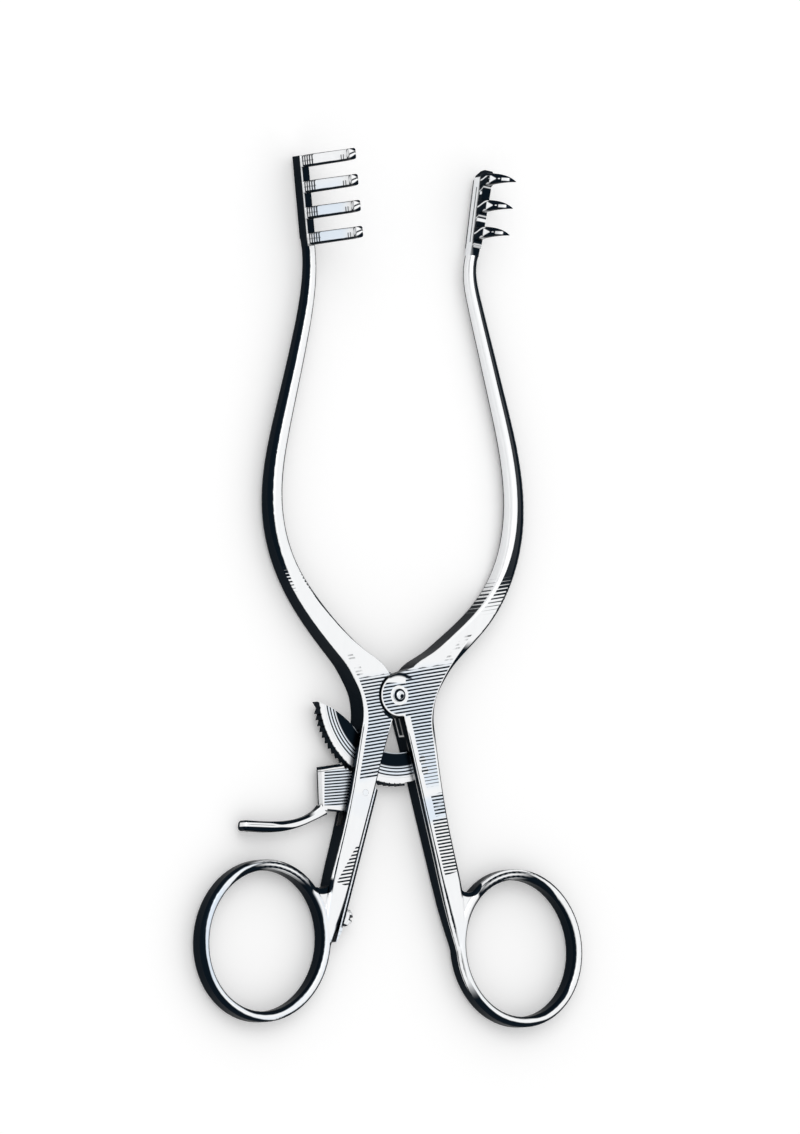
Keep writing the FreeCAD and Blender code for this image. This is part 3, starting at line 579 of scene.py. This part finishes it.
def release_lever_finish():
    """Ground block with a bright foot, grinding lines painted dark as hatched shade and a painted
    sky reflection, and a finger bar painted dark as shade with bright streaks as painted
    highlights.
    """
    shader = Shader("release_lever_steel")
    x, y = shader.x, shader.y
    top = BLOCK_TOP[1] + BLOCK_SLOPE * (x - BLOCK_TOP[0])
    below_top = top - y + 0.2 * (shader.noise(450) - 0.5)
    on_bar = x.under(BLOCK_LEFT - 0.2, BLOCK_LEFT + 0.2)
    bar_dark, low_band = finger_bar_dark(shader)
    block_dark = shader.most(pawl_block_dark(shader, below_top), low_band * y.under(-21.9, -21.8))
    dark = on_bar * bar_dark + (1 - on_bar) * block_dark
    front = shader.nz.over(0.8, 0.95)
    zone = y.over(-21.1, -20.8) * below_top.over(0.9, 1.0) * x.over(-15.2, -15.0)
    lines = shader.ground(BLOCK_SLANT, 0.05, finer=0.86) * zone * front * (1 - on_bar)
    return shader.finish(dark, lines, 0.8 * front * zone)


def leaf_finish():
    """Leaf painted dark as shade except its near edge and end, which stay bright as a painted
    highlight with a painted sky reflection, and faint painted dark lines across it.
    """
    shader = Shader("leaf_spring_steel")
    o = -HANDLE_COS * shader.x + HANDLE_SIN * shader.y
    s = -HANDLE_SIN * shader.x - HANDLE_COS * shader.y
    middle = LEAF_PLACE[0] + LEAF_SLOPE * (s - LEAF_PLACE[1])
    near = shader.most((o - middle).over(0.12, 0.22), s.over(44.6, 45.4) * (o + 0.1).under(0, 0.1))
    end_face = (-shader.nx).over(0.8, 0.9) * s.over(45.2, 46.2)
    edge = shader.most(near * shader.nz.over(0.5, 0.8), end_face)
    blade = s.stripes(0.9, 0.3, 0.1) * 0.2
    return shader.finish(1 - edge, blade, edge * 0.8)


def pivot_rivet_finish():
    """Turned rivet head: a painted ring of shade round a bright dome, which has painted shade on
    its lower right, with faint turned rings and a slight painted sky reflection.
    """
    shader = Shader("fastener_steel")
    radius = shader.length(shader.x, shader.y)
    head = shader.z.over(RIVET_HEAD_BASE, RIVET_HEAD_BASE + 0.05)
    rim_shade = radius.within(0.8, 1.22, 0.03)
    shade_spot = shader.length(shader.x - 0.24, shader.y + 0.2).under(0.36, 0.46)
    half_moon = radius.under(0.74, 0.82) * (shader.x - shader.y).over(0.45, 0.6)
    dark = shader.most(rim_shade, shade_spot, 0.85 * half_moon) * head
    rings = radius.stripes(RIVET_TURNED, 0.3, 0.12) * head
    return shader.finish(dark, 0.25 * rings, 0.3 * head)


def screw_finish():
    """Bright slotted head with its edges, its slot walls and one side of its dome painted dark as
    shade.
    """
    shader = Shader("spring_screw_steel")
    x, y = shader.x - SCREW_SEAT[0], shader.y - SCREW_SEAT[1]
    away = HANDLE_COS * x - HANDLE_SIN * y
    along = HANDLE_SIN * x + HANDLE_COS * y
    slot = along.size().under(0.5, 0.58) * away.over(1.5, 1.7)
    ends = along.size().over(1.28, 1.38)
    dome = (away - 0.28 * (1.6 - along.size())).over(2.28, 2.36)
    dark = shader.most(slot, ends, dome, shader.nz.under(0.1, 0.3))
    return shader.finish(dark, away.stripes(0.5, 0.2, 0.1) * 0.2, away * 0 + 0.1)


def flush_pin_finish():
    """Pin ends ground flush with the handle, with their sides painted dark as shade and grinding
    lines painted dark as hatched shade.
    """
    shader = Shader("flush_pin_steel")
    lines = shader.ground(FRONT_SLOPE) * shader.nz.over(0.9, 0.98) * shader.y.over(-16.5, -15.5)
    return shader.finish(shader.nz.under(0.3, 0.5), lines, 0.3 * shader.nz)


class RETRACTOR_OT_dress_arms(bpy.types.Operator):
    """Give the two arms with their handles and rings a ground and polished steel"""
    bl_idname = "retractor.dress_arms"
    bl_label = "Dress Arms"

    def execute(self, context):
        dress("left_arm", arm_finish(-1))
        dress("right_arm", arm_finish(1))
        return {"FINISHED"}


class RETRACTOR_OT_dress_rakes(bpy.types.Operator):
    """Give the pronged and the clawed rake their steel"""
    bl_idname = "retractor.dress_rakes"
    bl_label = "Dress Rakes"

    def execute(self, context):
        dress("left_rake", left_rake_finish())
        dress("right_rake", right_rake_finish())
        return {"FINISHED"}


class RETRACTOR_OT_dress_ratchet(bpy.types.Operator):
    """Give the ratchet bar turned rings and a bright rim"""
    bl_idname = "retractor.dress_ratchet"
    bl_label = "Dress Ratchet Bar"

    def execute(self, context):
        dress("ratchet_bar", ratchet_bar_finish())
        return {"FINISHED"}


class RETRACTOR_OT_dress_lever(bpy.types.Operator):
    """Give the release lever and the leaf spring their steel"""
    bl_idname = "retractor.dress_lever"
    bl_label = "Dress Lever and Spring"

    def execute(self, context):
        dress("release_lever", release_lever_finish())
        dress("leaf_spring", leaf_finish())
        return {"FINISHED"}


class RETRACTOR_OT_dress_fasteners(bpy.types.Operator):
    """Give the rivets, the pin and the screw their steel"""
    bl_idname = "retractor.dress_fasteners"
    bl_label = "Dress Fasteners"

    def execute(self, context):
        dress("pivot_rivet", pivot_rivet_finish())
        plain = flush_pin_finish()
        for name in ("lever_pin", "ratchet_rivet_upper", "ratchet_rivet_lower"):
            dress(name, plain)
        dress("spring_screw", screw_finish())
        return {"FINISHED"}


class RETRACTOR_OT_set_stage(bpy.types.Operator):
    """Lay a pale floor, light it softly and place the camera"""
    bl_idname = "retractor.set_stage"
    bl_label = "Set Stage"

    def execute(self, context):
        scene = context.scene
        stage = scene.retractor_stage
        self.lay_floor(scene, stage)
        self.light(scene, stage)
        self.place_camera(scene)
        scene.view_settings.view_transform = "Standard"
        return {"FINISHED"}

    def lay_floor(self, scene, stage):
        mesh = bpy.data.meshes.new("floor")
        shape = bmesh.new()
        bmesh.ops.create_grid(shape, x_segments=1, y_segments=1, size=stage.floor_size / 2)
        bmesh.ops.translate(shape, verts=shape.verts, vec=(0, 0, -FLOOR_DROP))
        shape.to_mesh(mesh)
        shape.free()
        floor = bpy.data.objects.new("floor", mesh)
        scene.collection.objects.link(floor)
        material = bpy.data.materials.new("floor_paper")
        material.use_nodes = True
        surface = material.node_tree.nodes["Principled BSDF"]
        surface.inputs["Base Color"].default_value = (*stage.floor_colour, 1)
        surface.inputs["Roughness"].default_value = 0.9
        surface.inputs["Specular IOR Level"].default_value = 0.1
        surface.inputs["Emission Color"].default_value = (1, 1, 1, 1)
        self.link_seen(material.node_tree, surface.inputs["Emission Strength"], 0.0, stage.glow)
        mesh.materials.append(material)

    def link_seen(self, tree, socket, unseen, seen):
        """One strength where the camera or the steel's mirror sees it, another as a light."""
        path = tree.nodes.new("ShaderNodeLightPath")
        either = tree.nodes.new("ShaderNodeMath")
        either.operation = "MAXIMUM"
        tree.links.new(path.outputs["Is Camera Ray"], either.inputs[0])
        tree.links.new(path.outputs["Is Glossy Ray"], either.inputs[1])
        strength = tree.nodes.new("ShaderNodeMapRange")
        strength.inputs["To Min"].default_value = unseen
        strength.inputs["To Max"].default_value = seen
        tree.links.new(either.outputs[0], strength.inputs["Value"])
        tree.links.new(strength.outputs["Result"], socket)

    def light(self, scene, stage):
        world = bpy.data.worlds.new("studio")
        scene.world = world
        world.use_nodes = True
        tree = world.node_tree
        sky = tree.nodes["Background"]
        sky.inputs["Color"].default_value = (1, 1, 1, 1)
        self.link_seen(tree, sky.inputs["Strength"], stage.sky, 1.0)
        lamp = bpy.data.lights.new("key", "AREA")
        lamp.shape, lamp.size, lamp.energy = "DISK", KEY_SIZE, stage.lamp
        key = bpy.data.objects.new("key", lamp)
        scene.collection.objects.link(key)
        turn = (KEY_SPOT - KEY_AIM).to_track_quat("Z", "Y").to_matrix().to_4x4()
        key.matrix_world = Matrix.Translation(KEY_SPOT) @ turn

    def place_camera(self, scene):
        """The photograph's view: a distant camera, to the left of straight above."""
        back = CAMERA_BACK.normalized()
        right = CAMERA_UPWARDS.cross(back).normalized()
        up = back.cross(right)
        aim = CAMERA_AIM + CAMERA_SHIFT[0] * right + CAMERA_SHIFT[1] * up
        data = bpy.data.cameras.new("camera")
        data.sensor_fit = "VERTICAL"
        data.sensor_height = SENSOR_HEIGHT
        data.lens = SENSOR_HEIGHT * CAMERA_DISTANCE / VIEW_HEIGHT
        data.clip_end = 20.0
        camera = bpy.data.objects.new("camera", data)
        scene.collection.objects.link(camera)
        turn = Matrix((right, up, back)).transposed().to_4x4()
        camera.matrix_world = Matrix.Translation(aim + CAMERA_DISTANCE * back) @ turn
        scene.camera = camera


OPERATORS = (
    RETRACTOR_OT_dress_arms,
    RETRACTOR_OT_dress_rakes,
    RETRACTOR_OT_dress_ratchet,
    RETRACTOR_OT_dress_lever,
    RETRACTOR_OT_dress_fasteners,
    RETRACTOR_OT_set_stage,
)


class RETRACTOR_PT_tools(bpy.types.Panel):
    """Steps and settings of the retractor"""
    bl_idname = "RETRACTOR_PT_tools"
    bl_label = "Retractor"
    bl_space_type = "VIEW_3D"
    bl_region_type = "UI"
    bl_category = "Retractor"

    def draw(self, context):
        column = self.layout.column()
        for settings in (context.scene.retractor_steel, context.scene.retractor_stage):
            for name in settings.__annotations__:
                column.prop(settings, name)
        for operator in OPERATORS:
            column.operator(operator.bl_idname)


CLASSES = (SteelSettings, StageSettings, *OPERATORS, RETRACTOR_PT_tools)


def register():
    for cls in CLASSES:
        bpy.utils.register_class(cls)
    bpy.types.Scene.retractor_steel = PointerProperty(type=SteelSettings)
    bpy.types.Scene.retractor_stage = PointerProperty(type=StageSettings)


def unregister():
    del bpy.types.Scene.retractor_steel
    del bpy.types.Scene.retractor_stage
    for cls in reversed(CLASSES):
        bpy.utils.unregister_class(cls)


def main():
    register()
    bpy.ops.retractor.dress_arms()
    bpy.ops.retractor.dress_rakes()
    bpy.ops.retractor.dress_ratchet()
    bpy.ops.retractor.dress_lever()
    bpy.ops.retractor.dress_fasteners()
    bpy.ops.retractor.set_stage()


if __name__ == "__main__":
    main()
